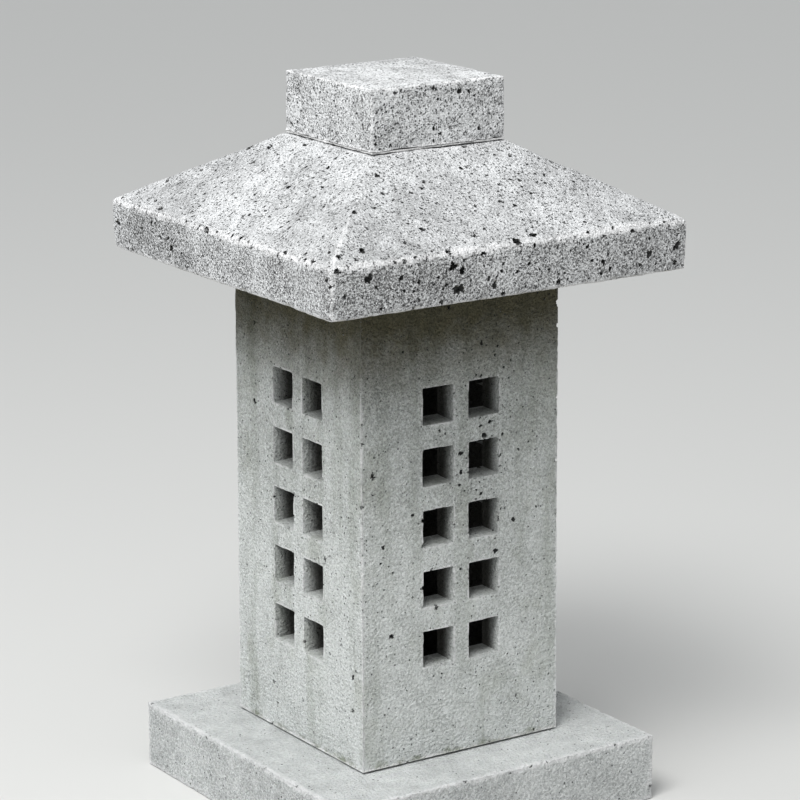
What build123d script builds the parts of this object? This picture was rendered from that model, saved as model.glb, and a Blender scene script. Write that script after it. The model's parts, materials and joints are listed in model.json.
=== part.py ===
from build123d import *
import os
from math import atan, degrees, radians, tan

# Cast-stone garden lantern: a hollow square light box with rows of small windows stands on a base
# slab and carries a pyramid roof with a square cap block. A tea light burns on the base slab's boss.
# Frame: the origin is the centre of the base slab's underside, +Z is up and -Y is the front.
# All sizes are in millimetres.

# Base slab
BASE_SIDE = 305.0
BASE_HEIGHT = 56.0
BASE_UPRIGHT_R = 4.0
BASE_TOP_R = 2.0
BASE_FOOT_R = 4.0
BOSS_SIDE = 138.0  # the raised square that keeps the light box in place
BOSS_HEIGHT = 10.0
BOSS_EDGE_R = 3.0

# Setting pads, which leave the narrow open joint under the light box
PAD_SIDE = 18.0
PAD_THICK = 1.2

# Light box
BODY_FOOT_SIDE = 190.5
BODY_TOP_SIDE = 188.5
BODY_TOP_ABOVE_BASE = 390.0
WALL = 22.0
BODY_EDGE_R = 2.0
CAVITY_EDGE_R = 5.0

# Windows: the same grid in each wall
WINDOW_COLUMNS = 2
WINDOW_ROWS = 5
WINDOW_WIDTH = 28.5
WINDOW_HEIGHT = 29.4
WINDOW_MULLION = 15.5
WINDOW_PITCH_Z = 50.0
WINDOW_TOP_ABOVE_BASE = 307.5
WINDOW_DRAFT = 3.0  # degrees, narrowing inwards
WINDOW_CORNER_R = 1.0

# Roof
EAVE_FOOT_SIDE = 335.0
EAVE_TOP_SIDE = 337.0
EAVE_HEIGHT = 42.5
EAVE_UPRIGHT_R = 6.0
EAVE_FOOT_R = 4.0
ROOF_RISE = 60.0  # from the top of the eave to the foot of the cap block
ROOF_LEDGE = 1.0  # how far the roof's flat top stands out round the cap block
TONGUE_SIDE = 138.0
TONGUE_HEIGHT = 15.0

# Cap block and its bed
CAP_FOOT_SIDE = 126.5
CAP_TOP_SIDE = 127.2
CAP_HEIGHT = 50.0
CAP_EDGE_R = 3.5
BED_THICK = 1.0
BED_INSET = 0.2
DOWEL_R = 6.0
DOWEL_HOLE_R = 7.0
DOWEL_LENGTH = 68.0
DOWEL_IN_ROOF = 38.0
DOWEL_HEAD_ROOM = 3.0

# Tea light
CUP_R = 29.0
CUP_HEIGHT = 24.0
CUP_SKIN = 0.5
WAX_BELOW_RIM = 2.5
TAB_R = 8.0
TAB_THICK = 0.6
TAB_NECK_R = 2.0
TAB_NECK_HEIGHT = 4.0
WICK_R = 1.0
WICK_STANDS_OUT = 9.0

# Heights that follow from them
BODY_FOOT_Z = BASE_HEIGHT + PAD_THICK
BODY_TOP_Z = BASE_HEIGHT + BODY_TOP_ABOVE_BASE
BODY_HEIGHT = BODY_TOP_Z - BODY_FOOT_Z
EAVE_TOP_Z = BODY_TOP_Z + EAVE_HEIGHT
CAP_FOOT_Z = EAVE_TOP_Z + ROOF_RISE
ROOF_TOP_Z = CAP_FOOT_Z - BED_THICK
BOSS_TOP_Z = BASE_HEIGHT + BOSS_HEIGHT
CAVITY_SIDE = BODY_FOOT_SIDE - 2 * WALL
WAX_FOOT_Z = BOSS_TOP_Z + CUP_SKIN
WAX_TOP_Z = BOSS_TOP_Z + CUP_HEIGHT - WAX_BELOW_RIM


def block(foot_side, top_side, height, foot_z):
    """A square block with its foot at foot_z and its sides leaning evenly from foot_side to top_side."""
    lean = degrees(atan((foot_side - top_side) / 2 / height))
    return Pos(0, 0, foot_z) * extrude(Rectangle(foot_side, foot_side), height, taper=lean)


def upright_edges(solid):
    """The edges that stand upright, or nearly so."""
    return solid.edges().filter_by(lambda edge: abs(edge.tangent_at(0.5).Z) > 0.9)


def rim_edges(solid, z):
    """The edges that lie level at height z."""
    return solid.edges().filter_by_position(Axis.Z, z - 0.01, z + 0.01)


def cylinder(radius, foot_z, top_z):
    """An upright cylinder on the Z axis."""
    return Pos(0, 0, (foot_z + top_z) / 2) * Cylinder(radius, top_z - foot_z)


def make_base_slab():
    slab = block(BASE_SIDE, BASE_SIDE, BASE_HEIGHT, 0)
    slab = fillet(upright_edges(slab), BASE_UPRIGHT_R)
    slab = fillet(rim_edges(slab, BASE_HEIGHT), BASE_TOP_R)
    slab = fillet(rim_edges(slab, 0), BASE_FOOT_R)
    boss = block(BOSS_SIDE, BOSS_SIDE, BOSS_HEIGHT, BASE_HEIGHT)
    boss = fillet(upright_edges(boss), BOSS_EDGE_R)
    return slab + boss


def make_setting_pads():
    """Four pads, one under each corner of the light box's wall."""
    reach = (BODY_FOOT_SIDE - WALL) / 2
    centre_z = BASE_HEIGHT + PAD_THICK / 2
    pad = Box(PAD_SIDE, PAD_SIDE, PAD_THICK)
    return [Pos(x, y, centre_z) * pad for x in (-reach, reach) for y in (-reach, reach)]


def window_centres():
    """(across, z) of each window in a wall."""
    pitch = WINDOW_WIDTH + WINDOW_MULLION
    top_row = BASE_HEIGHT + WINDOW_TOP_ABOVE_BASE - WINDOW_HEIGHT / 2
    for column in range(WINDOW_COLUMNS):
        for row in range(WINDOW_ROWS):
            across = (column - (WINDOW_COLUMNS - 1) / 2) * pitch
            yield across, top_row - row * WINDOW_PITCH_Z


def window_cutter(across, z):
    """A frustum through the front wall, full size on the wall's face and narrower inside it."""
    over = 1.0
    grow = 2 * over * tan(radians(WINDOW_DRAFT))
    mouth = RectangleRounded(WINDOW_WIDTH + grow, WINDOW_HEIGHT + grow, WINDOW_CORNER_R)
    face = Plane(origin=(across, -BODY_FOOT_SIDE / 2 - over, z), x_dir=(1, 0, 0), z_dir=(0, 1, 0))
    return extrude(face * mouth, WALL + 2 * over, taper=WINDOW_DRAFT)


def make_light_box():
    body = block(BODY_FOOT_SIDE, BODY_TOP_SIDE, BODY_HEIGHT, BODY_FOOT_Z)
    body = fillet(upright_edges(body), BODY_EDGE_R)
    cavity = block(CAVITY_SIDE, CAVITY_SIDE, BODY_HEIGHT, BODY_FOOT_Z)
    cavity = fillet(upright_edges(cavity), CAVITY_EDGE_R)
    front = [window_cutter(across, z) for across, z in window_centres()]
    return body - cavity - [Rot(0, 0, 90 * turn) * cutter for turn in range(4) for cutter in front]


def make_roof():
    plateau_side = CAP_FOOT_SIDE + 2 * ROOF_LEDGE
    eave = block(EAVE_FOOT_SIDE, EAVE_TOP_SIDE, EAVE_HEIGHT, BODY_TOP_Z)
    eave = fillet(upright_edges(eave), EAVE_UPRIGHT_R)
    eave = fillet(rim_edges(eave, BODY_TOP_Z), EAVE_FOOT_R)
    pyramid = block(EAVE_TOP_SIDE, plateau_side, ROOF_TOP_Z - EAVE_TOP_Z, EAVE_TOP_Z)
    hips = pyramid.edges().filter_by(lambda edge: abs(edge.tangent_at(0.5).Z) > 0.2)
    pyramid = fillet(hips, EAVE_UPRIGHT_R)
    tongue = block(TONGUE_SIDE, TONGUE_SIDE, TONGUE_HEIGHT, BODY_TOP_Z - TONGUE_HEIGHT)
    tongue = fillet(upright_edges(tongue), CAVITY_EDGE_R)
    hole = cylinder(DOWEL_HOLE_R, ROOF_TOP_Z - DOWEL_IN_ROOF, ROOF_TOP_Z)
    return eave + pyramid + tongue - hole


def make_cap_bed():
    side = CAP_FOOT_SIDE - 2 * BED_INSET
    bed = block(side, side, BED_THICK, ROOF_TOP_Z)
    return bed - cylinder(DOWEL_HOLE_R, ROOF_TOP_Z, CAP_FOOT_Z)


def make_cap_block():
    cap = block(CAP_FOOT_SIDE, CAP_TOP_SIDE, CAP_HEIGHT, CAP_FOOT_Z)
    cap = fillet(upright_edges(cap), CAP_EDGE_R)
    cap = fillet(rim_edges(cap, CAP_FOOT_Z + CAP_HEIGHT), CAP_EDGE_R)
    hole_top = ROOF_TOP_Z - DOWEL_IN_ROOF + DOWEL_LENGTH + DOWEL_HEAD_ROOM
    return cap - cylinder(DOWEL_HOLE_R, CAP_FOOT_Z, hole_top)


def make_cap_dowel():
    foot_z = ROOF_TOP_Z - DOWEL_IN_ROOF
    return cylinder(DOWEL_R, foot_z, foot_z + DOWEL_LENGTH)


def make_candle_cup():
    cup = cylinder(CUP_R, BOSS_TOP_Z, BOSS_TOP_Z + CUP_HEIGHT)
    return cup - cylinder(CUP_R - CUP_SKIN, WAX_FOOT_Z, BOSS_TOP_Z + CUP_HEIGHT)


def make_wick_tab():
    plate = cylinder(TAB_R, WAX_FOOT_Z, WAX_FOOT_Z + TAB_THICK)
    neck = cylinder(TAB_NECK_R, WAX_FOOT_Z + TAB_THICK, WAX_FOOT_Z + TAB_NECK_HEIGHT)
    return plate + neck - cylinder(WICK_R, WAX_FOOT_Z, WAX_FOOT_Z + TAB_NECK_HEIGHT)


def make_candle_wick():
    return cylinder(WICK_R, WAX_FOOT_Z, WAX_TOP_Z + WICK_STANDS_OUT)


def make_candle_wax():
    wax = cylinder(CUP_R - CUP_SKIN, WAX_FOOT_Z, WAX_TOP_Z)
    tab_room = cylinder(TAB_R, WAX_FOOT_Z, WAX_FOOT_Z + TAB_THICK)
    neck_room = cylinder(TAB_NECK_R, WAX_FOOT_Z, WAX_FOOT_Z + TAB_NECK_HEIGHT)
    return wax - tab_room - neck_room - cylinder(WICK_R, WAX_FOOT_Z, WAX_TOP_Z)


def save(node, shape):
    """Writes one node's solids to parts/NODE.step."""
    solids = shape if isinstance(shape, list) else [shape]
    export_step(Compound(children=[solid for part in solids for solid in part.solids()]), f"parts/{node}.step")


os.makedirs("parts", exist_ok=True)
save("base_slab", make_base_slab())
save("setting_pads", make_setting_pads())
save("light_box", make_light_box())
save("roof", make_roof())
save("cap_bed", make_cap_bed())
save("cap_dowel", make_cap_dowel())
save("cap_block", make_cap_block())
save("candle_cup", make_candle_cup())
save("wick_tab", make_wick_tab())
save("candle_wick", make_candle_wick())
save("candle_wax", make_candle_wax())
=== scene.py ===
import json
from math import cos, pi, radians, sin, tan

import bmesh
import bpy
import numpy as np
from mathutils import Matrix, Vector
from mathutils.bvhtree import BVHTree


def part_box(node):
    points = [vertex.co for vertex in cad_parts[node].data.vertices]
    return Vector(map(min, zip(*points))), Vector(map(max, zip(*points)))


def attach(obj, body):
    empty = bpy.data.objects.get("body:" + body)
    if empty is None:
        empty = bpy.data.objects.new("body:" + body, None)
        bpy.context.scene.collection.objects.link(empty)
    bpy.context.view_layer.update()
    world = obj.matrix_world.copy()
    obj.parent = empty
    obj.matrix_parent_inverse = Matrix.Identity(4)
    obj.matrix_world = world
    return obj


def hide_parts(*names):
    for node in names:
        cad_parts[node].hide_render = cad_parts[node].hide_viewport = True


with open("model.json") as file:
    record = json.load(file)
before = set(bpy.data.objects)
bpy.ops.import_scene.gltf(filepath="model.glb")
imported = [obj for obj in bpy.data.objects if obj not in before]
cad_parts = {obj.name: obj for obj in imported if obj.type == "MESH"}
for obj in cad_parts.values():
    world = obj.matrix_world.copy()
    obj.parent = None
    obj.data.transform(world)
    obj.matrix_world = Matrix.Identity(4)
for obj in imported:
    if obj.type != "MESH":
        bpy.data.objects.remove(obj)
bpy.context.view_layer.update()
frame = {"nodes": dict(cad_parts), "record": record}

# The scene dresses a cast-stone garden lantern. Each stone is the skin of a lattice of cells with the
# CAD solid's sizes. Its arrises are softened, its faces given a slight relief, and blown holes and
# chips are cut out of it. The materials add what is finer than the lattice, and also paint shade under
# the eaves, on the roof's underside, up the body, in the windows, pores and holes, and a highlight on the
# arrises.
# Lengths are in metres, in the frame's own axes: +Z up, -Y the front.

MM = 0.001


# ---------------------------------------------------------------- camera, floor and light

CAMERA_AZIMUTH = radians(-33.607)
CAMERA_ELEVATION = radians(14.452)
CAMERA_ROLL = radians(-0.1945)
CAMERA_DISTANCE = 2.7151
CAMERA_LENS = 150.24  # in millimetres, for a sensor of this width
SENSOR_WIDTH = 36.0
CAMERA_RANGE = (0.05, 200.0)
AIM_RIGHT = 3.7 * MM
AIM_HEIGHT = 0.3295

FLOOR_REACH = 60.0
FLOOR_COLOUR = (0.62, 0.62, 0.61, 1)
FLOOR_ROUGHNESS = 0.9

PANEL_PLACE = (-1.35, -0.9, 2.6)
PANEL_AIM = (0, 0, 0.35)
PANEL_WIDTH = 1.2
PANEL_POWER = 66
PANEL_COLOUR = (1, 0.995, 0.98)

SKY_COLOUR = (0.49, 0.5, 0.505, 1)
# Each soft patch of the sky: its direction, the cosines from it between which it comes up, its strength
SKY_PATCHES = [((0, 0, 1), 0.2, 0.8, 1.3), ((-0.75, -0.2, 0.63), 0.35, 0.95, 1.55)]


def make_camera():
    data = bpy.data.cameras.new("camera")
    data.sensor_width = SENSOR_WIDTH
    data.lens = CAMERA_LENS
    data.clip_start, data.clip_end = CAMERA_RANGE
    camera = bpy.data.objects.new("camera", data)
    bpy.context.scene.collection.objects.link(camera)
    right = Vector((cos(CAMERA_AZIMUTH), sin(CAMERA_AZIMUTH), 0))
    level = Vector((sin(CAMERA_AZIMUTH), -cos(CAMERA_AZIMUTH), 0))
    back = level * cos(CAMERA_ELEVATION) + Vector((0, 0, sin(CAMERA_ELEVATION)))
    up = back.cross(right)
    rolled_right = right * cos(CAMERA_ROLL) + up * sin(CAMERA_ROLL)
    rolled_up = up * cos(CAMERA_ROLL) - right * sin(CAMERA_ROLL)
    turn = Matrix((rolled_right, rolled_up, back)).transposed().to_4x4()
    place = right * AIM_RIGHT + Vector((0, 0, AIM_HEIGHT)) + back * CAMERA_DISTANCE
    camera.matrix_world = Matrix.Translation(place) @ turn
    bpy.context.scene.camera = camera


def make_floor():
    corners = [(x * FLOOR_REACH, y * FLOOR_REACH, 0) for x, y in ((-1, -1), (1, -1), (1, 1), (-1, 1))]
    mesh = bpy.data.meshes.new("floor")
    mesh.from_pydata(corners, [], [(0, 1, 2, 3)])
    floor = new_piece("floor", mesh)
    paint = Paint("floor_paint")
    paint.feed("Base Color", FLOOR_COLOUR)
    paint.feed("Roughness", FLOOR_ROUGHNESS)
    mesh.materials.append(paint.material)


def make_panel():
    data = bpy.data.lights.new("high_panel", "AREA")
    data.shape = "SQUARE"
    data.size = PANEL_WIDTH
    data.energy = PANEL_POWER
    data.color = PANEL_COLOUR
    panel = bpy.data.objects.new("high_panel", data)
    bpy.context.scene.collection.objects.link(panel)
    panel.location = PANEL_PLACE
    panel.rotation_euler = (Vector(PANEL_PLACE) - Vector(PANEL_AIM)).to_track_quat("Z", "Y").to_euler()


def make_sky():
    world = bpy.data.worlds.new("studio")
    world.use_nodes = True
    bpy.context.scene.world = world
    tree = world.node_tree
    background = tree.nodes["Background"]
    background.inputs["Color"].default_value = SKY_COLOUR
    direction = tree.nodes.new("ShaderNodeTexCoord").outputs["Generated"]
    total = tree.nodes.new("ShaderNodeMath")
    for i, (way, low, high, strength) in enumerate(SKY_PATCHES):
        toward = tree.nodes.new("ShaderNodeVectorMath")
        toward.operation = "DOT_PRODUCT"
        tree.links.new(direction, toward.inputs[0])
        toward.inputs[1].default_value = Vector(way).normalized()
        patch = tree.nodes.new("ShaderNodeMapRange")
        patch.interpolation_type = "SMOOTHSTEP"
        tree.links.new(toward.outputs["Value"], patch.inputs["Value"])
        patch.inputs["From Min"].default_value = low
        patch.inputs["From Max"].default_value = high
        patch.inputs["To Max"].default_value = strength
        tree.links.new(patch.outputs["Result"], total.inputs[i])
    tree.links.new(total.outputs[0], background.inputs["Strength"])
    bpy.context.scene.view_settings.view_transform = "Standard"


# ---------------------------------------------------------------- materials


class Paint:
    """Writes a material's nodes. Each method that adds a node gives back its output socket."""

    def __init__(self, name):
        self.material = bpy.data.materials.new(name)
        self.material.use_nodes = True
        self.tree = self.material.node_tree
        self.shader = self.tree.nodes["Principled BSDF"]
        self.place = self.add("ShaderNodeTexCoord").outputs["Object"]

    def add(self, kind, **settings):
        node = self.tree.nodes.new(kind)
        for key, value in settings.items():
            setattr(node, key, value)
        return node

    def join(self, socket, value):
        if isinstance(value, bpy.types.NodeSocket):
            self.tree.links.new(value, socket)
        else:
            socket.default_value = value

    def feed(self, name, value):
        self.join(self.shader.inputs[name], value)

    def math(self, operation, a, b=0.0, clamp=False):
        node = self.add("ShaderNodeMath", operation=operation, use_clamp=clamp)
        self.join(node.inputs[0], a)
        self.join(node.inputs[1], b)
        return node.outputs[0]

    def span(self, value, low, high, to_low=0.0, to_high=1.0):
        """value taken smoothly from low..high to to_low..to_high."""
        node = self.add("ShaderNodeMapRange", interpolation_type="SMOOTHSTEP")
        names = ("Value", "From Min", "From Max", "To Min", "To Max")
        for name, given in zip(names, (value, low, high, to_low, to_high)):
            self.join(node.inputs[name], given)
        return node.outputs["Result"]

    def mix(self, share, a, b, blend="MIX"):
        node = self.add("ShaderNodeMix", data_type="RGBA", blend_type=blend)
        self.join(node.inputs["Factor"], share)
        self.join(node.inputs[6], a)
        self.join(node.inputs[7], b)
        return node.outputs[2]

    def tinted(self, share, colour, tint):
        """The colour multiplied by the tint, as far as share says."""
        return self.mix(share, colour, self.mix(1.0, colour, tint, "MULTIPLY"))

    def stretched(self, x, y, z, shift=0.0):
        node = self.add("ShaderNodeMapping")
        self.join(node.inputs["Vector"], self.place)
        node.inputs["Scale"].default_value = (x, y, z)
        node.inputs["Location"].default_value = (shift, shift, shift)
        return node.outputs[0]

    def noise(self, size, detail=2.0, roughness=0.5, at=None):
        node = self.add("ShaderNodeTexNoise")
        self.join(node.inputs["Vector"], at or self.place)
        node.inputs["Scale"].default_value = 1 / size
        node.inputs["Detail"].default_value = detail
        node.inputs["Roughness"].default_value = roughness
        return node.outputs[0]

    def dots(self, cell, least, most, rarity):
        """Round spots, one at most in each cell, with radii from least to most of a cell."""
        node = self.add("ShaderNodeTexVoronoi")
        self.join(node.inputs["Vector"], self.place)
        node.inputs["Scale"].default_value = 1 / cell
        split = self.add("ShaderNodeSeparateColor")
        self.join(split.inputs[0], node.outputs["Color"])
        size = self.math("POWER", split.outputs[0], rarity)
        radius = self.span(size, 0.0, 1.0, least, most)
        edge = self.math("SUBTRACT", radius, node.outputs["Distance"])
        return self.span(edge, -0.04, 0.07)

    def cells(self, size):
        """A different value from 0 to 1 in each small irregular cell."""
        node = self.add("ShaderNodeTexVoronoi")
        self.join(node.inputs["Vector"], self.place)
        node.inputs["Scale"].default_value = 1 / size
        split = self.add("ShaderNodeSeparateColor")
        self.join(split.inputs[0], node.outputs["Color"])
        return split.outputs[0]

    def attribute(self, name):
        return self.add("ShaderNodeAttribute", attribute_name=name).outputs["Fac"]

    def facing(self):
        """The Z part of the surface's own direction."""
        split = self.add("ShaderNodeSeparateXYZ")
        self.join(split.inputs[0], self.add("ShaderNodeNewGeometry").outputs["True Normal"])
        return split.outputs["Z"]

    def height(self):
        split = self.add("ShaderNodeSeparateXYZ")
        self.join(split.inputs[0], self.place)
        return split.outputs["Z"]

    def reach(self):
        """How far out from the lantern's axis, square to its faces."""
        split = self.add("ShaderNodeSeparateXYZ")
        self.join(split.inputs[0], self.place)
        out_x = self.math("ABSOLUTE", split.outputs["X"])
        out_y = self.math("ABSOLUTE", split.outputs["Y"])
        return self.math("MAXIMUM", out_x, out_y)

    def bump(self, height, distance):
        node = self.add("ShaderNodeBump")
        self.join(node.inputs["Height"], height)
        node.inputs["Distance"].default_value = distance
        node.inputs["Strength"].default_value = 1.0
        self.feed("Normal", node.outputs[0])


def grey(value, red=0.0, blue=0.0):
    return (value + red, value, value + blue, 1.0)


# What multiplies the stone's colour, and the colours it turns to
RUN_TINT = (0.58, 0.6, 0.55, 1)
BLOT_TINT = (0.62, 0.63, 0.57, 1)
MOSS_TINT = (0.3, 0.33, 0.22, 1)
# painted shade on the roof's underside, a brown darkening of what faces down
SOFFIT_SHADE_TINT = (0.55, 0.5, 0.38, 1)
# painted shade under the eaves: the brown darkening of the body's upper walls
EAVE_SHADE_TINT = (0.175, 0.157, 0.098, 1)
# painted shade deep in the windows and the chamber
RECESS_SHADE_TINT = (0.085, 0.083, 0.075, 1)
# painted highlight along the arrises
ARRIS_HIGHLIGHT = grey(0.93, 0.0, 0.01)
# painted shade inside pores too small to cut out
PORE_SHADE = (0.04, 0.042, 0.042, 1)
# painted shade in the bottoms of the cut holes
HOLLOW_SHADE = (0.03, 0.031, 0.029, 1)


class StonePaint(Paint):
    """Dry cast stone, whose colour and surface share a few noises."""

    def __init__(self, name, grit_size):
        super().__init__(name)
        self.broad = self.noise(110 * MM, 3.0, 0.55)
        self.mottle = self.noise(19 * MM, 5.0, 0.64)
        self.grain = self.noise(grit_size, 3.0, 0.8)
        self.grit = self.cells(1.25 * grit_size)
        self.coarse = self.noise(2.2 * grit_size, 2.0, 0.55)
        self.top = self.span(self.facing(), 0.3, 0.75)

    def paste(self, light, dark, speckle, shift, mottling, shade_by_height):
        """The stone's own colour, with painted shade by height where asked. speckle is the grit's strength
        and shift how much lighter the stone is, each on the sides and on the tops. The painted height shade
        is (from height, to height, amount): lighter by amount at the first height, darker by it at the
        second."""
        grit = self.math("SUBTRACT", self.grit, 0.5)
        grit = self.math("ADD", self.span(self.grain, 0.3, 0.7, -0.5, 0.5), grit)
        grit = self.math("ADD", grit, self.span(self.coarse, 0.35, 0.65, -0.2, 0.2))
        grit = self.math("MULTIPLY", grit, self.span(self.top, 0.0, 1.0, speckle[0], speckle[1]))
        tone = self.math("ADD", self.span(self.broad, 0.3, 0.7, -0.14, 0.14), 0.6)
        tone = self.math("ADD", tone, self.span(self.mottle, 0.28, 0.72, -mottling, mottling))
        tone = self.math("ADD", tone, grit)
        tone = self.math("ADD", tone, self.span(self.top, 0.0, 1.0, shift[0], shift[1]))
        # painted shade: lighter towards the foot and darker up towards the eaves
        if shade_by_height:
            low, high, amount = shade_by_height
            tone = self.math("ADD", tone, self.span(self.height(), low, high, amount, -amount))
        return self.mix(self.math("ADD", tone, 0.0, clamp=True), dark, light)

    def rained_on(self, colour, strength):
        """Dark runs down the walls and wide blots."""
        runs = self.noise(20 * MM, 4.0, 0.6, self.stretched(1, 1, 0.1))
        runs = self.math("MULTIPLY", self.span(runs, 0.45, 0.7), strength)
        blots = self.noise(45 * MM, 5.0, 0.6, self.stretched(1, 1, 0.6, 0.4))
        blots = self.math("MULTIPLY", self.span(blots, 0.52, 0.68), strength)
        return self.tinted(blots, self.tinted(runs, colour, RUN_TINT), BLOT_TINT)

    def mossy(self, colour, foot):
        """A ragged line of moss along the foot."""
        line = self.math("ADD", self.height(), self.span(self.mottle, 0.2, 0.8, -4 * MM, 7 * MM))
        return self.tinted(self.span(line, foot, foot + 6 * MM, 0.75, 0.0), colour, MOSS_TINT)

    def eave_shade(self, low, high):
        """How strongly the walls take the painted shade under the eaves, more and more from one height up
        to the other.
        """
        edge = self.math("ADD", self.height(), self.span(self.mottle, 0.2, 0.8, -12 * MM, 12 * MM))
        return self.math("MULTIPLY", self.span(edge, low, high), self.math("SUBTRACT", 1.0, self.top))

    def pores(self, amount, arris):
        """Round and ragged pores too small to be cut out, fewer where the arris highlight is painted."""
        dots = self.dots(2.0 * MM, 0.0, 0.42, 3.2 / amount)
        rags = self.noise(2.1 * MM, 2.0, 0.65, self.stretched(1, 1, 1, 0.7))
        rags = self.span(rags, 0.695 - 0.025 * amount, 0.725 - 0.025 * amount)
        rags = self.math("MULTIPLY", rags, self.span(self.broad, 0.35, 0.6, 0.35, 1.0))
        return self.math("MULTIPLY", self.math("MAXIMUM", dots, rags), self.span(arris, 0.0, 1.0, 1.0, 0.4))

    def shaded_hollows(self, colour):
        """Painted shade in the bottoms of the holes that are cut out, and less of it where an arris is
        chipped.
        """
        depth = self.span(self.attribute("hollow"), 0.15, 1.5)
        depth = self.math("MULTIPLY", depth, self.span(self.attribute("arris"), 0.3, 1.0, 1.0, 0.3))
        return self.mix(self.math("MULTIPLY", depth, 0.92), colour, HOLLOW_SHADE)

    def shaded_recess(self, colour, mouth, back):
        """Painted shade that thickens from the walls' mouth to their back, thinner on what faces up."""
        depth = self.span(self.reach(), back, mouth, 1.0, 0.0)
        depth = self.math("MULTIPLY", depth, self.span(self.facing(), 0.35, 0.8, 1.0, 0.6))
        return self.tinted(depth, colour, RECESS_SHADE_TINT)


def stone_paint(
    name, light, dark, size, speckle, shift, mottling, pores, rough,
    painted_eave_shade=None, streaks=0.0, shade_by_height=None, foot=None, shade_soffit=False, recess_shade=None,
):
    """Light and dark paste with grit of this size, and as many pores and as deep a surface as pores and
    rough say. Where asked it has rain streaks, moss at the foot's height, painted shade under the eaves
    given as (from height, to height, tint), painted shade on the underside, and painted shade in the
    windows and the chamber, from a mouth reach to a back reach."""
    paint = StonePaint(name, size)
    colour = paint.paste(light, dark, speckle, shift, mottling, shade_by_height)
    if streaks:
        colour = paint.rained_on(colour, streaks)
    if foot:
        colour = paint.mossy(colour, foot)
    # painted highlight on the arrises, varied by the mottle
    arris = paint.span(paint.attribute("arris"), 0.08, 0.65)
    arris = paint.math("MULTIPLY", arris, paint.span(paint.mottle, 0.3, 0.62, 0.5, 1.0))
    # painted shade under the eaves, which also dims the painted arris highlight there
    if painted_eave_shade:
        low, high, tint = painted_eave_shade
        eave_shade = paint.eave_shade(low, high)
        colour = paint.tinted(eave_shade, colour, tint)
        arris = paint.math("MULTIPLY", arris, paint.span(eave_shade, 0.0, 0.7, 1.0, 0.1))
    # painted shade on what faces down
    if shade_soffit:
        colour = paint.tinted(paint.span(paint.facing(), -0.75, -0.35, 1.0, 0.0), colour, SOFFIT_SHADE_TINT)
    # painted highlight mixed in on the arrises
    colour = paint.mix(arris, colour, paint.mix(0.75, colour, ARRIS_HIGHLIGHT))
    pore = paint.pores(pores, arris)
    # painted shade inside the pores
    colour = paint.mix(paint.math("MULTIPLY", pore, 0.88), colour, PORE_SHADE)
    # painted shade in the cut holes
    colour = paint.shaded_hollows(colour)
    # painted shade deepening into the windows and the chamber
    if recess_shade:
        colour = paint.shaded_recess(colour, *recess_shade)
    paint.feed("Base Color", colour)

    paint.feed("Roughness", paint.span(paint.mottle, 0.3, 0.7, 0.82, 0.95))
    paint.feed("Specular IOR Level", 0.3)
    height = paint.math("MULTIPLY", paint.grain, 0.6)
    height = paint.math("ADD", height, paint.math("MULTIPLY", paint.grit, 0.2))
    height = paint.math("ADD", height, paint.math("MULTIPLY", paint.coarse, 1.8))
    height = paint.math("SUBTRACT", height, pore)
    paint.bump(height, rough)
    return paint.material


def plain_paint(name, light, dark, size, roughness, bump, metallic=0.0):
    """A small part's finish: two tones of one colour, worn roughness and a fine surface."""
    paint = Paint(name)
    broad = paint.noise(6 * size, 3.0, 0.6)
    fine = paint.noise(size, 4.0, 0.65)
    tone = paint.math("ADD", paint.math("MULTIPLY", broad, 0.5), paint.math("MULTIPLY", fine, 0.5))
    paint.feed("Base Color", paint.mix(paint.span(tone, 0.35, 0.65), dark, light))
    paint.feed("Roughness", paint.span(broad, 0.3, 0.7, roughness[0], roughness[1]))
    paint.feed("Metallic", metallic)
    paint.bump(fine, bump)
    return paint.material


# ---------------------------------------------------------------- mesh helpers


def points_of(mesh):
    flat = np.empty(len(mesh.vertices) * 3)
    mesh.vertices.foreach_get("co", flat)
    return flat.reshape(-1, 3)


def normals_of(mesh):
    flat = np.empty(len(mesh.vertices) * 3)
    mesh.vertices.foreach_get("normal", flat)
    return flat.reshape(-1, 3)


def edges_of(mesh):
    flat = np.empty(len(mesh.edges) * 2, np.int64)
    mesh.edges.foreach_get("vertices", flat)
    return flat.reshape(-1, 2)


def set_points(mesh, points):
    mesh.vertices.foreach_set("co", points.ravel())
    mesh.update()


def new_piece(name, mesh):
    piece = bpy.data.objects.new(name, mesh)
    bpy.context.scene.collection.objects.link(piece)
    return piece


NOISE_SIDE = 64  # after this many cells the noise repeats
NOISE_SHIFT = 1000.37  # keeps the noise's lattice off the stones' own planes


def lattice_noise(points, cell, seed):
    """Smooth noise from -1 to 1, with a random value at each corner of a lattice of this cell."""
    table = np.random.default_rng(seed).uniform(-1, 1, (NOISE_SIDE, NOISE_SIDE, NOISE_SIDE))
    scaled = points / cell + NOISE_SHIFT
    corner = np.floor(scaled).astype(np.int64)
    part = scaled - corner
    part = part * part * (3 - 2 * part)
    total = np.zeros(len(points))
    for step in np.ndindex(2, 2, 2):
        share = np.abs(1 - np.array(step) - part).prod(axis=1)
        at = (corner + step) % NOISE_SIDE
        total += share * table[at[:, 0], at[:, 1], at[:, 2]]
    return total


def smoothed(points, edges, rounds):
    """The points after rounds of moving each halfway to the middle of its neighbours."""
    one, two = edges[:, 0], edges[:, 1]
    count = np.bincount(edges.ravel(), minlength=len(points))[:, None]
    for _ in range(rounds):
        around = np.empty_like(points)
        for axis in range(3):
            around[:, axis] = np.bincount(one, points[two, axis], len(points))
            around[:, axis] += np.bincount(two, points[one, axis], len(points))
        points = 0.5 * points + 0.5 * around / count
    return points


# ---------------------------------------------------------------- stone shapes


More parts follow.
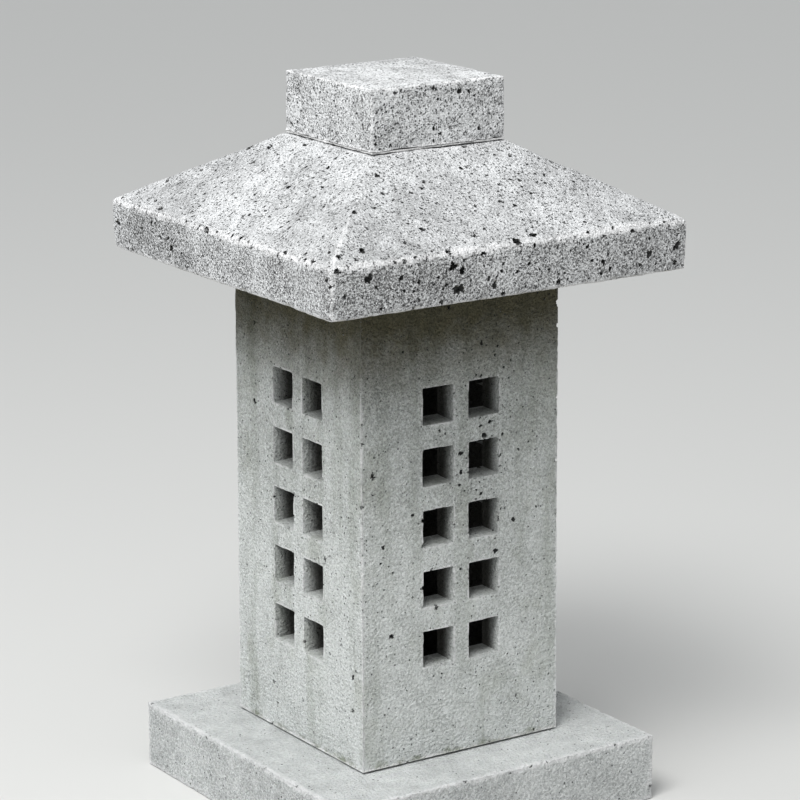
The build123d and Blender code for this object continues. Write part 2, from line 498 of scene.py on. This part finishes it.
def lines(marks, step, crisp):
    """Lattice lines at each mark, close beside it, and evenly at about this step in between."""
    found = [marks[0]]
    for low, high in zip(marks, marks[1:]):
        if high - low > 3 * crisp:
            count = max(int(np.ceil((high - low - 2 * crisp) / step)), 1)
            found.extend(np.linspace(low + crisp, high - crisp, count + 1))
        found.append(high)
    return np.array(found)


def lattice_mesh(name, axes, solid):
    """The skin of the cells whose middles are solid, on a lattice with these lines along each axis."""
    middles = [(a[1:] + a[:-1]) / 2 for a in axes]
    filled = np.pad(solid(*np.meshgrid(*middles, indexing="ij")), 1)
    _, ny, nz = (len(a) for a in axes)
    quads = []
    for axis in range(3):
        u, v = (axis + 1) % 3, (axis + 2) % 3
        cells = np.moveaxis(filled, (axis, u, v), (0, 1, 2))[:, 1:-1, 1:-1]
        for turn, skin in ((1, cells[:-1] & ~cells[1:]), (-1, ~cells[:-1] & cells[1:])):
            found = np.stack(np.nonzero(skin), 1)
            at = np.empty_like(found)
            corners = []
            for du, dv in ((0, 0), (1, 0), (1, 1), (0, 1))[::turn]:
                at[:, axis], at[:, u], at[:, v] = found[:, 0], found[:, 1] + du, found[:, 2] + dv
                corners.append((at[:, 0] * ny + at[:, 1]) * nz + at[:, 2])
            quads.append(np.stack(corners, 1))
    used, faces = np.unique(np.concatenate(quads), return_inverse=True)
    points = np.stack([axes[0][used // (ny * nz)], axes[1][used // nz % ny], axes[2][used % nz]], 1)
    mesh = bpy.data.meshes.new(name)
    mesh.from_pydata(points.tolist(), [], faces.reshape(-1, 4).tolist())
    return mesh


def wear(mesh, seed, soft_rounds, relief, chip, plain=None, crisp=None):
    """Softens the arrises, chips them and gives the faces a slight relief, always inwards.

    relief is a list of (cell, depth). plain says of each point how far it is a hidden face and crisp
    how far it keeps its sharp arris, both from 0 to 1. Gives back how strongly each point stands out on
    an arris, from 0 to 1."""
    points, normals, edges = points_of(mesh), normals_of(mesh), edges_of(mesh)
    stand_out = np.einsum("ij,ij->i", points - smoothed(points, edges, 10), normals)
    arris = np.clip(stand_out / (0.9 * MM), 0, 1)
    depth = np.zeros(len(points))
    for i, (cell, amount) in enumerate(relief):
        depth += amount * 0.5 * (1 - lattice_noise(points, cell, seed + i))
    bite = np.clip(lattice_noise(points, 5 * MM, seed + 20) - 0.25, 0, 1)
    big_bite = np.clip(lattice_noise(points, 17 * MM, seed + 21) - 0.45, 0, 1)
    depth += arris * chip * (bite + 1.6 * big_bite)
    if plain is not None:
        depth *= 1 - plain(points)
    soft = smoothed(points, edges, soft_rounds)
    if crisp is not None:
        soft += (points - soft) * crisp(points)[:, None]
    set_points(mesh, soft - normals * depth[:, None])
    return arris


def ball(rounds):
    """An icosphere's points and faces."""
    work = bmesh.new()
    bmesh.ops.create_icosphere(work, subdivisions=rounds, radius=1.0)
    points = np.array([v.co[:] for v in work.verts])
    faces = np.array([[v.index for v in f.verts] for f in work.faces])
    work.free()
    return points, faces


def faces_of(mesh):
    """Each face's middle, outward direction and area."""
    n = len(mesh.polygons)
    middles, normals, areas = np.empty(n * 3), np.empty(n * 3), np.empty(n)
    mesh.polygons.foreach_get("center", middles)
    mesh.polygons.foreach_get("normal", normals)
    mesh.polygons.foreach_get("area", areas)
    return middles.reshape(-1, 3), normals.reshape(-1, 3), areas


def apart(places, radii, gap):
    """Which of the holes to keep so that no two of them meet, the largest first."""
    kept = np.zeros(len(places), bool)
    cell = 2.6 * radii.max() + gap
    grid = {}
    for i in np.argsort(-radii, kind="stable"):
        key = np.floor(places[i] / cell).astype(int)
        near = [j for step in np.ndindex(3, 3, 3) for j in grid.get(tuple(key + step - 1), ())]
        if all(np.linalg.norm(places[i] - places[j]) > 1.3 * (radii[i] + radii[j]) + gap for j in near):
            kept[i] = True
            grid.setdefault(tuple(key), []).append(i)
    return kept


def holes_mesh(places, normals, radii, rng):
    """One mesh of uneven closed blobs, sunk so that each opens a hole of about its radius. The larger
    a blob is, the finer its ball."""
    all_points, all_faces, first = [], [], 0
    sizes = [(3.0 * MM, ball(4)), (1.3 * MM, ball(3)), (0, ball(2))]
    for place, normal, radius in zip(places, normals, radii):
        template, faces = next(found for least, found in sizes if radius >= least)
        turn = np.linalg.qr(rng.normal(size=(3, 3)))[0]
        turn *= np.sign(np.linalg.det(turn))
        waves = np.sin(template @ rng.normal(0, 2.4, (3, 3)) + rng.uniform(0, 6, 3)).sum(axis=1)
        if len(template) > 100:
            waves += 0.8 * np.sin(template @ rng.normal(0, 6, (3, 3)) + rng.uniform(0, 6, 3)).sum(axis=1)
        blob = (template * (1 + 0.16 * waves)[:, None] * rng.uniform(0.62, 1.25, 3)) @ turn.T * radius
        all_points.append(blob + place - normal * radius * rng.uniform(0.15, 0.6))
        all_faces.append(faces + first)
        first += len(template)
    mesh = bpy.data.meshes.new("holes")
    mesh.from_pydata(np.concatenate(all_points).tolist(), [], np.concatenate(all_faces).tolist())
    return mesh


def pit(piece, seed, kinds, arris, spots=()):
    """Cuts blown holes and chips out of the piece, and stores at each point how deep in a hole it is
    and how strongly it stands on an arris. kinds is a list of (count, radius, spread, weight), where
    weight(middles, normals, edge) says how likely each face is to be hit, for its area. spots is a
    list of (place, outward direction, radius)."""
    rng = np.random.default_rng(seed)
    before = piece.data
    tree = BVHTree.FromPolygons([v.co for v in before.vertices], [p.vertices[:] for p in before.polygons])
    corners = np.empty(len(before.loops), np.int64)
    before.loops.foreach_get("vertex_index", corners)
    face_arris = arris[corners.reshape(-1, 4)].mean(axis=1)
    middles, normals, areas = faces_of(before)
    places, ways, radii = [], [], []
    for count, radius, spread, weight in kinds:
        chance = areas * weight(middles, normals, face_arris)
        hit = rng.choice(len(areas), count, p=chance / chance.sum())
        shift = rng.uniform(-1, 1, (count, 3)) * MM
        shift -= normals[hit] * np.einsum("ij,ij->i", shift, normals[hit])[:, None]
        places.append(middles[hit] + shift)
        ways.append(normals[hit])
        radii.append(radius * np.exp(rng.normal(0, spread, count)))
    for place, way, radius in spots:
        places.append(np.array([place]))
        ways.append(np.array([way]))
        radii.append(np.array([radius]))
    places, ways, radii = np.concatenate(places), np.concatenate(ways), np.concatenate(radii)
    kept = apart(places, radii, 0.15 * MM)
    holes = new_piece("holes", holes_mesh(places[kept], ways[kept], radii[kept], rng))
    cutter = piece.modifiers.new("holes", "BOOLEAN")
    cutter.operation = "DIFFERENCE"
    cutter.solver = "MANIFOLD"
    cutter.object = holes
    graph = bpy.context.evaluated_depsgraph_get()
    after = bpy.data.meshes.new_from_object(piece.evaluated_get(graph))
    piece.modifiers.clear()
    piece.data = after
    bpy.data.objects.remove(holes)

    nearest = [tree.find_nearest(v.co) for v in after.vertices]
    hollow = np.array([gap for _, _, _, gap in nearest]) / MM
    edge = face_arris[[face for _, _, face, _ in nearest]]
    for name, values in (("hollow", hollow), ("arris", edge)):
        after.attributes.new(name, "FLOAT", "POINT").data.foreach_set("value", values)
    after.set_sharp_from_angle(angle=radians(48))


def finish_stone(mesh, name, node, body, seed, worn, kinds, paint, spots=()):
    """Wears and pits a stone's mesh, and makes it the piece that replaces the node on its body. worn
    holds what wear takes, kinds and spots what pit takes."""
    arris = wear(mesh, seed, **worn)
    piece = new_piece(name, mesh)
    pit(piece, seed + 50, kinds, arris, spots)
    piece.data.materials.clear()
    piece.data.materials.append(paint)
    piece.data.polygons.foreach_set("material_index", [0] * len(piece.data.polygons))
    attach(piece, body)
    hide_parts(node)


# Where holes and chips fall. Each function gives every face a weight, for pit, and none of them nothing.
HARDLY = 1e-9


def on_sides(middles, normals, edge):
    return (np.abs(normals[:, 2]) < 0.5) + HARDLY


def on_tops(middles, normals, edge):
    return (normals[:, 2] > 0.5) + HARDLY


def on_arrises(middles, normals, edge):
    return (edge > 0.5) * (normals[:, 2] > -0.5) + HARDLY


# ---------------------------------------------------------------- sizes
# These follow the CAD part. The boxes and the stated openings below them come from the frame.

CHAMBER_ROOM = 1.75 * MM  # from the stated candle chamber to the light box's inner faces
WINDOW_ROOM_X = 1.75 * MM  # from a stated window opening to the window's mouth
WINDOW_ROOM_Z = 1.8 * MM
WINDOW_DRAFT = radians(3.0)
BODY_TOP_HALF = 94.25 * MM
EAVE_HEIGHT = 42.5 * MM
EAVE_LEAN = 1.0 * MM  # how far the eave's foot stands in from its top
LEDGE = 1.0 * MM  # how far the roof's flat top stands out round the cap block
TONGUE_HALF = 69 * MM  # of the roof's tongue and of the base slab's boss

openings = {o["name"]: np.array(o["box_m"]) for o in frame["record"]["physics"]["openings"]}
base_low, base_high = (np.array(c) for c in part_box("base_slab"))
body_low, body_high = (np.array(c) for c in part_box("light_box"))
roof_low, roof_high = (np.array(c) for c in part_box("roof"))
cap_low, cap_high = (np.array(c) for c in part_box("cap_block"))
base_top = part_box("setting_pads")[0][2]
cavity_half = openings["candle_chamber"][1][0] + CHAMBER_ROOM
wall = body_high[0] - cavity_half


# ---------------------------------------------------------------- the stones


def clustered(weight, cell, seed, sharpness=2.0):
    """The same weight, gathered in patches about this big."""

    def weigh(middles, normals, edge):
        patches = np.exp(sharpness * lattice_noise(middles, cell, seed))
        return weight(middles, normals, edge) * patches

    return weigh


def make_cap():
    half, low, high = cap_high[0], cap_low[2], cap_high[2]
    across = lines([-half, half], 1.8 * MM, 1.4 * MM)
    up = lines([low, high], 1.8 * MM, 1.4 * MM)
    mesh = lattice_mesh("cap", [across, across, up], lambda x, y, z: np.ones(x.shape, bool))

    def foot_arris(at):
        return 0.85 * np.clip(1 - (at[:, 2] - low) / (4 * MM), 0, 1)

    relief = [(24 * MM, 0.6 * MM), (6 * MM, 0.5 * MM), (2.8 * MM, 0.45 * MM)]
    finish_stone(
        mesh, "cap_block_cast", "cap_block", "roof", 13,
        dict(soft_rounds=6, relief=relief, chip=1.6 * MM, crisp=foot_arris),
        [
            (1000, 0.72 * MM, 0.3, clustered(on_sides, 25 * MM, 3)),
            (260, 1.25 * MM, 0.3, clustered(on_sides, 25 * MM, 3, 0.9)),
            (150, 0.95 * MM, 0.35, clustered(on_tops, 30 * MM, 4)),
            (40, 1.2 * MM, 0.3, on_arrises),
        ],
        stone_paint(
            "cap_stone", light=grey(0.92, -0.012, 0.012), dark=grey(0.16), size=0.85 * MM,
            speckle=(0.7, 0.4), shift=(0.09, 0.17), mottling=0.22, pores=2.8, rough=1.3 * MM,
        ),
    )


def make_roof():
    half, foot, top = roof_high[0], roof_low[2], roof_high[2]
    bed = body_high[2]
    eave_top = bed + EAVE_HEIGHT
    plateau = cap_high[0] + LEDGE
    across = lines([-half, -TONGUE_HALF, TONGUE_HALF, half], 2.4 * MM, 2.0 * MM)
    low = lines([foot, bed, eave_top], 2.4 * MM, 2.0 * MM)
    high = lines([eave_top, top], 1.5 * MM, 1.2 * MM)
    up = np.concatenate([low, high[1:]])

    def solid(x, y, z):
        return (z > bed) | ((np.abs(x) < TONGUE_HALF) & (np.abs(y) < TONGUE_HALF))

    mesh = lattice_mesh("roof", [across, across, up], solid)
    points = points_of(mesh)
    heights = [foot, bed - 1e-6, bed, eave_top, top]
    widths = [1, 1, 1 - EAVE_LEAN / half, 1, plateau / half]
    points[:, :2] *= np.interp(points[:, 2], heights, widths)[:, None]
    set_points(mesh, points)

    def plateau_arris(at):
        return np.clip(1 - (top - 1 * MM - at[:, 2]) / (5 * MM), 0, 1)

    def front(along, rise, radius):
        """A hole in the eave's front face, as shares of its width and of its height."""
        return ((2 * along - 1) * half, -half, bed + rise * EAVE_HEIGHT), (0, -1, 0), radius

    spots = [
        front(0.1, 0.72, 4.2 * MM), front(0.33, 0.74, 3.6 * MM), front(0.345, 0.3, 4.6 * MM),
        front(0.3, 0.1, 3.4 * MM), front(0.44, 0.27, 3.4 * MM), front(0.88, 0.42, 4.4 * MM),
        front(0.965, 0.5, 3.6 * MM), front(0.96, 0.2, 3.2 * MM),
    ]
    relief = [(60 * MM, 1.2 * MM), (14 * MM, 0.6 * MM), (5 * MM, 0.55 * MM)]
    finish_stone(
        mesh, "roof_cast", "roof", "roof", 21,
        dict(soft_rounds=12, relief=relief, chip=2.2 * MM, crisp=plateau_arris),
        [
            (2000, 0.85 * MM, 0.32, clustered(on_sides, 40 * MM, 5)),
            (240, 1.45 * MM, 0.35, clustered(on_sides, 50 * MM, 6, 1.2)),
            (900, 1.0 * MM, 0.35, clustered(on_tops, 45 * MM, 7)),
            (260, 1.9 * MM, 0.25, clustered(on_tops, 45 * MM, 8)),
            (90, 2.0 * MM, 0.3, on_arrises),
        ],
        stone_paint(
            "roof_stone", light=grey(0.85, -0.012, 0.014), dark=grey(0.12), size=0.85 * MM,
            speckle=(0.98, 0.42), shift=(-0.03, 0.09), mottling=0.16, pores=2.4, rough=1.4 * MM,
            # painted shade on the roof's underside
            shade_soffit=True,
        ),
        spots,
    )


def window_marks(axis, keys):
    """The mouth edges of the windows along an axis, from the stated openings."""
    room = WINDOW_ROOM_Z if axis == 2 else WINDOW_ROOM_X
    boxes = [openings[key] for key in keys]
    return sorted({round(float(v), 6) for b in boxes for v in (b[0][axis] - room, b[1][axis] + room)})


def light_box_mesh(columns, rows):
    """The hollow box, leaning in towards the top, with windows that narrow inwards. columns and rows
    are the edges of the windows' mouths."""
    half, low, high = body_high[0], body_low[2], body_high[2]
    marks = [-half, -cavity_half, *columns, cavity_half, half]
    across = lines(marks, 2.6 * MM, 0.6 * MM)
    up = lines([low, *rows, high], 2.6 * MM, 0.6 * MM)

    def between(values, edges):
        return np.any([(values > a) & (values < b) for a, b in zip(edges[::2], edges[1::2])], axis=0)

    def solid(x, y, z):
        hollow = (np.abs(x) < cavity_half) & (np.abs(y) < cavity_half)
        window = between(z, rows) & (between(x, columns) | between(y, columns))
        return ~hollow & ~window

    def narrowed(edges):
        """The windows' edges where they open into the chamber."""
        draft = tan(WINDOW_DRAFT) * wall
        return [v + (draft if i % 2 == 0 else -draft) for i, v in enumerate(edges)]

    mesh = lattice_mesh("light_box", [across, across, up], solid)
    points = points_of(mesh)
    size = np.abs(points[:, :2])
    for axis in (0, 1):
        in_wall = np.clip((half - size[:, 1 - axis]) / wall, 0, 1)
        inner_marks = [-half, -cavity_half, *narrowed(columns), cavity_half, half]
        moved = np.interp(points[:, axis], marks, inner_marks)
        points[:, axis] += (moved - points[:, axis]) * in_wall
    in_wall = np.clip((half - size.max(axis=1)) / wall, 0, 1)
    moved = np.interp(points[:, 2], [low, *rows, high], [low, *narrowed(rows), high])
    points[:, 2] += (moved - points[:, 2]) * in_wall
    lean = (half - BODY_TOP_HALF) / (high - low)
    outer = np.clip((size - cavity_half) / wall, 0, 1)
    points[:, :2] -= np.sign(points[:, :2]) * outer * (lean * (points[:, 2] - low))[:, None]
    set_points(mesh, points)
    return mesh


def make_light_box():
    keys = [key for key in openings if key.startswith("windows_front_back")]
    columns, rows = window_marks(0, keys), window_marks(2, keys)
    half, low, high = body_high[0], body_low[2], body_high[2]
    mesh = light_box_mesh(columns, rows)
    right_column = (columns[-2] + columns[-1]) / 2
    upper_rows = (rows[4] + rows[-1]) / 2  # the middle of the three upper rows

    def plain(at):
        return (np.abs(at[:, :2]).max(axis=1) < cavity_half + 0.5 * MM) | (at[:, 2] < low + 0.1 * MM)

    def on_walls(middles, normals, edge):
        return (np.abs(normals[:, 2]) < 0.5) * (np.abs(middles[:, :2]).max(axis=1) > half - 3 * MM) + HARDLY

    def eroded(middles, normals, edge):
        """Round the upper right-hand windows of the front, and most at their edges."""
        off = np.hypot((middles[:, 0] - right_column) / (26 * MM), (middles[:, 2] - upper_rows) / (65 * MM))
        front = (normals[:, 1] < -0.4) * (middles[:, 1] < -half + 3 * MM)
        return front * np.exp(-off * off) * (0.4 + 2 * edge) + HARDLY

    relief = [(50 * MM, 0.5 * MM), (12 * MM, 0.3 * MM), (4.5 * MM, 0.25 * MM)]
    finish_stone(
        mesh, "light_box_cast", "light_box", "light_box", 31,
        dict(soft_rounds=1, relief=relief, chip=1.1 * MM, plain=plain),
        [
            (900, 0.75 * MM, 0.35, clustered(on_walls, 45 * MM, 9)),
            (60, 1.7 * MM, 0.3, clustered(on_walls, 45 * MM, 10)),
            (200, 1.2 * MM, 0.35, on_arrises),
            (240, 0.8 * MM, 0.5, eroded),
        ],
        stone_paint(
            "body_stone", light=grey(0.92, -0.03, -0.01), dark=grey(0.4, -0.02, -0.015), size=1.1 * MM,
            speckle=(0.55, 0.35), shift=(0.06, 0.06), mottling=0.12, pores=0.15, rough=2.4 * MM,
            # painted shade on the body: a band under the eaves, a darkening up towards them and a darkening
            # into the windows
            painted_eave_shade=(high - 110 * MM, high - 25 * MM, EAVE_SHADE_TINT), streaks=0.48,
            shade_by_height=(low, high - 60 * MM, 0.2), foot=low, recess_shade=(half + 1.5 * MM, half - 0.75 * wall),
        ),
    )


def make_base():
    half = base_high[0]
    across = lines([-half, -TONGUE_HALF, TONGUE_HALF, half], 2.6 * MM, 2.0 * MM)
    up = lines([base_low[2], base_top, base_high[2]], 2.6 * MM, 2.0 * MM)

    def solid(x, y, z):
        return (z < base_top) | ((np.abs(x) < TONGUE_HALF) & (np.abs(y) < TONGUE_HALF))

    mesh = lattice_mesh("base_slab", [across, across, up], solid)
    relief = [(60 * MM, 0.5 * MM), (12 * MM, 0.25 * MM), (4.5 * MM, 0.2 * MM)]
    finish_stone(
        mesh, "base_slab_cast", "base_slab", "base", 41,
        dict(soft_rounds=2, relief=relief, chip=1.1 * MM),
        [(90, 0.75 * MM, 0.35, on_sides), (30, 0.75 * MM, 0.3, on_tops), (90, 1.2 * MM, 0.3, on_arrises)],
        stone_paint(
            "base_stone", light=grey(0.88, -0.022, -0.004), dark=grey(0.36, -0.015), size=1.1 * MM,
            speckle=(0.55, 0.22), shift=(-0.04, 0.1), mottling=0.14, pores=0.12, rough=2.4 * MM,
        ),
    )


# ---------------------------------------------------------------- the tea light and the small parts

METAL = 1.0
FLUTES = 60
FLUTE_DEPTH = 0.22 * MM
MORTAR_SPREAD = 0.7 * MM  # how far the mortar is raked over the arrises above and below it
WAX_SAG = 1.1 * MM
BRAID_PITCH = 1.1 * MM
CHARRED_LENGTH = 3.5 * MM


def lathe(name, profile, sides, shape):
    """A closed turned piece. profile is a list of (radius, height) that starts and ends on the axis.
    shape(angles, radius, height) gives the radii and heights to use there."""
    angles = np.linspace(0, 2 * pi, sides, endpoint=False)
    rings, points, faces = [], [], []
    for radius, height in profile:
        if radius == 0:
            rings.append([len(points)] * sides)
            points.append((0, 0, height))
        else:
            rings.append(list(range(len(points), len(points) + sides)))
            wide, tall = shape(angles, radius, height)
            points.extend(zip(wide * np.cos(angles), wide * np.sin(angles), tall))
    for one, two in zip(rings, rings[1:]):
        for i in range(sides):
            j = (i + 1) % sides
            corners = [one[i], one[j], two[j], two[i]]
            faces.append([c for k, c in enumerate(corners) if c != corners[k - 1]])
    mesh = bpy.data.meshes.new(name)
    mesh.from_pydata(points, [], faces)
    mesh.shade_smooth()
    return new_piece(name, mesh)


def dress(piece, node, body, paint):
    piece.data.materials.append(paint)
    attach(piece, body)
    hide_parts(node)


def make_cup():
    low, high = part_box("candle_cup")
    out, foot, rim = high[0], low[2], high[2]
    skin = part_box("candle_wax")[0][2] - foot
    roll = 1.1 * skin
    underside = [(0, foot + 0.4 * skin), (0.8 * out, foot + 0.4 * skin), (0.86 * out, foot)]
    underside += [(out - 3.2 * skin, foot), (out - 1.4 * skin, foot + 0.9 * skin)]
    underside += [(out - 0.9 * skin, foot + 3 * skin)]
    steps = np.linspace(foot + 5 * skin, rim - 4.5 * roll, 10)
    outside = [(out - 0.9 * skin, z) for z in steps]
    rolled = [(out - roll * (1 - sin(t)), rim - roll * (1 - cos(t))) for t in np.linspace(2.6, -1.5, 10)]
    inside = [(out - 1.9 * skin, z) for z in steps[::-1]]
    inside += [(out - 2.2 * skin, foot + 2.5 * skin), (0, foot + skin)]
    fluted_from, fluted_to = foot + 3 * skin, rim - 4 * roll

    def fluted(angles, radius, height):
        ease = 1.0 if fluted_from < height < fluted_to and radius > 0.9 * out else 0.0
        dent = 0.3 * skin * np.sin(3 * angles + 1.0) * np.sin(2 * angles) ** 2
        dent = np.abs(dent) + FLUTE_DEPTH * (0.5 - 0.5 * np.cos(FLUTES * angles))
        return radius - ease * dent, height + 0 * angles

    piece = lathe("tea_light_cup", underside + outside + rolled + inside, 8 * FLUTES, fluted)
    paint = plain_paint("cup_foil", grey(0.82), grey(0.62), 0.9 * MM, (0.22, 0.42), 0.05 * MM, METAL)
    dress(piece, "candle_cup", "tea_light", paint)


def make_mortar():
    """The bed's mortar, squeezed out flush and raked over the two arrises beside it."""
    low, high = (np.array(c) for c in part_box("cap_bed"))
    across = lines([low[0], high[0]], 2.0 * MM, 0.8 * MM)
    up = lines([low[2] - MORTAR_SPREAD, high[2] + MORTAR_SPREAD], 0.9 * MM, 0.5 * MM)
    mesh = lattice_mesh("cap_bed_mortar", [across, across, up], lambda x, y, z: np.ones(x.shape, bool))
    wear(mesh, 61, 2, [(7 * MM, 0.7 * MM), (2.5 * MM, 0.5 * MM)], 0.5 * MM)
    mesh.shade_smooth()
    piece = new_piece("cap_bed_mortar", mesh)
    paint = plain_paint("mortar", grey(0.86), grey(0.42), 1.3 * MM, (0.85, 0.95), 0.8 * MM)
    dress(piece, "cap_bed", "roof", paint)


def make_wax():
    low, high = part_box("candle_wax")
    out, foot, top = high[0], low[2], high[2]
    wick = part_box("candle_wick")[1][0]
    rim_radii = out - np.array([0.9, 0.4, 0.0]) * MM
    radii = np.concatenate([[1.15 * wick], np.linspace(1.8 * wick, out - 1.5 * MM, 22), rim_radii])
    by_wick = 0.5 * MM * np.exp(-(radii - wick) / (2.5 * wick))
    by_rim = WAX_SAG * np.exp(-(out - radii) / (0.9 * MM))
    heights = np.minimum(top - WAX_SAG + by_wick + by_rim, top)
    profile = [(0, heights[0]), *zip(radii, heights)]
    profile += [(out, foot + 0.8 * MM), (out - 0.8 * MM, foot), (0, foot)]

    def rippled(angles, radius, height):
        on_top = (height > top - 2 * WAX_SAG) * (radius < out - 2 * MM)
        return radius + 0 * angles, height + 0.12 * MM * np.sin(2 * angles + 260 * radius) * on_top

    piece = lathe("tea_light_wax", profile, 96, rippled)
    paint = Paint("paraffin")
    cloud = paint.noise(9 * MM, 4.0, 0.6)
    paint.feed("Base Color", paint.mix(cloud, (0.83, 0.81, 0.75, 1), (0.93, 0.92, 0.88, 1)))
    paint.feed("Roughness", paint.span(cloud, 0.3, 0.7, 0.32, 0.5))
    paint.feed("Subsurface Weight", 0.35)
    paint.feed("Subsurface Radius", (0.006, 0.005, 0.004))
    paint.bump(paint.noise(1.2 * MM, 3.0), 0.08 * MM)
    dress(piece, "candle_wax", "tea_light", paint.material)


def make_wick():
    low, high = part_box("candle_wick")
    out, foot, top = high[0], low[2], high[2]
    heights = np.linspace(foot, top - 0.5 * out, 70)
    ends = [(0.75 * out, top - 0.25 * out), (0.4 * out, top), (0, top - 0.1 * out)]
    profile = [(0, foot), *((0.95 * out, z) for z in heights), *ends]

    def braided(angles, radius, height):
        turn = (height - foot) / BRAID_PITCH
        lobes = np.maximum(np.cos(1.5 * (angles - turn)) ** 2, np.cos(1.5 * (angles + turn)) ** 2)
        return radius * (0.76 + 0.24 * lobes), height + 0 * angles

    piece = lathe("tea_light_wick", profile, 36, braided)
    paint = Paint("cotton")
    thread = paint.noise(0.25 * MM, 3.0, 0.7, paint.stretched(1, 1, 0.4))
    waxed = paint.mix(paint.span(thread, 0.3, 0.7), (0.62, 0.58, 0.48, 1), (0.86, 0.84, 0.78, 1))
    charred = paint.span(paint.height(), top - CHARRED_LENGTH, top - 1 * MM)
    paint.feed("Base Color", paint.mix(charred, waxed, (0.06, 0.052, 0.045, 1)))
    paint.feed("Roughness", paint.span(thread, 0.3, 0.7, 0.8, 0.95))
    paint.bump(thread, 0.1 * MM)
    dress(piece, "candle_wick", "tea_light", paint.material)


def paint_node(node, paint):
    """Gives a part that stays as its CAD solid a material."""
    mesh = frame["nodes"][node].data
    mesh.materials.clear()
    mesh.materials.append(paint)


make_camera()
make_floor()
make_panel()
make_sky()
make_cap()
make_roof()
make_light_box()
make_base()
make_mortar()
make_cup()
make_wax()
make_wick()
rubber = plain_paint("rubber", grey(0.06), grey(0.03), 2 * MM, (0.6, 0.8), 0.1 * MM)
dowel_steel = plain_paint("dowel_steel", grey(0.62), grey(0.42), 1 * MM, (0.3, 0.5), 0.05 * MM, METAL)
tab_steel = plain_paint("tab_steel", grey(0.7), grey(0.52), 0.6 * MM, (0.25, 0.4), 0.03 * MM, METAL)
paint_node("setting_pads", rubber)
paint_node("cap_dowel", dowel_steel)
paint_node("wick_tab", tab_steel)
